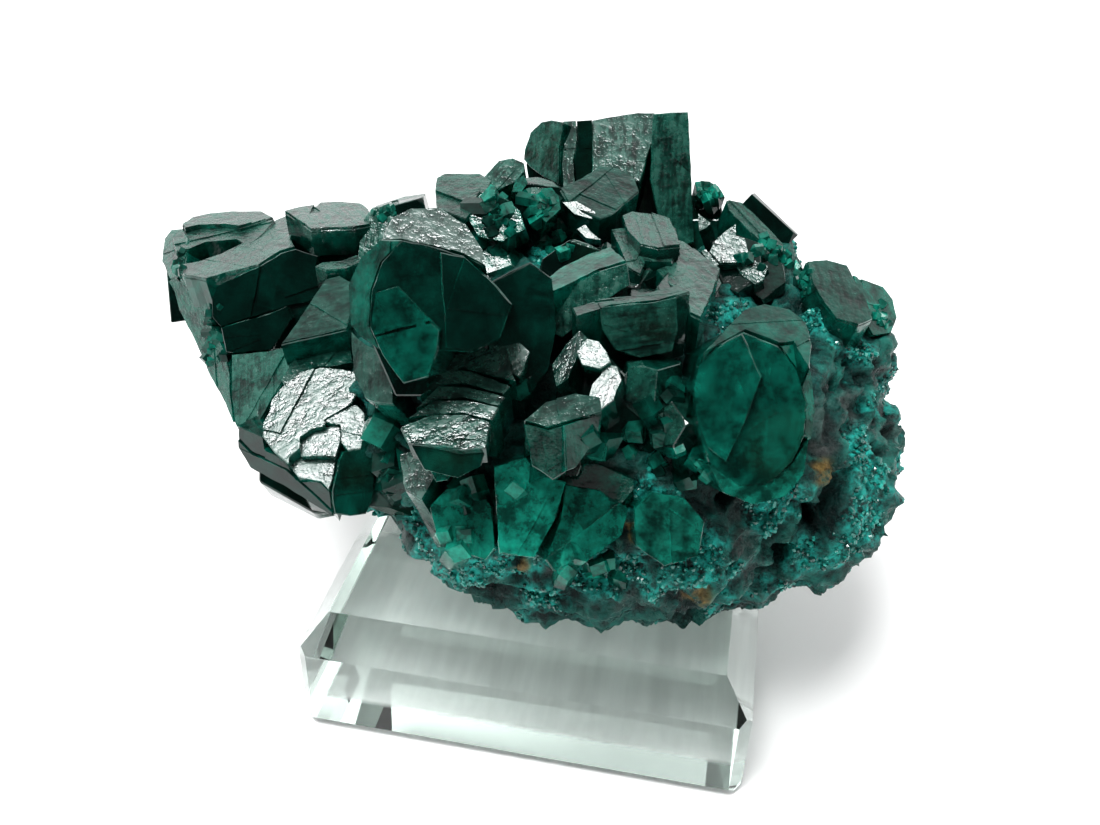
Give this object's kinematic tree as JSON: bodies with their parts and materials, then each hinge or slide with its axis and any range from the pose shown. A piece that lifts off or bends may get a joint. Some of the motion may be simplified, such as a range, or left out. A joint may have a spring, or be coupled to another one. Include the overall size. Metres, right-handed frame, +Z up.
{
  "type": "dioptase crystal cluster on display block",
  "caption": "Dark green dioptase crystals grown together on teal-crusted rock, resting on a clear square display block with chamfered edges.",
  "frame": {"origin": "centre of the display block's underside, on the surface that it stands on", "axes": "+Z up; X and Y along the sides of the square block; +X towards the low right shoulder of the specimen, -X towards the long leaning bundle, -Y towards the viewer"},
  "size_m": [0.0868, 0.0614, 0.0636],
  "materials": {
    "dioptase": "vitreous deep green crystal with striated faces, see-through at thin edges",
    "clear_glass": "polished clear glass with a faint green tint"
  },
  "bodies": {
    "root": {"dioptase_cluster": "dioptase", "glass_block": "clear_glass"}
  },
  "joints": []
}
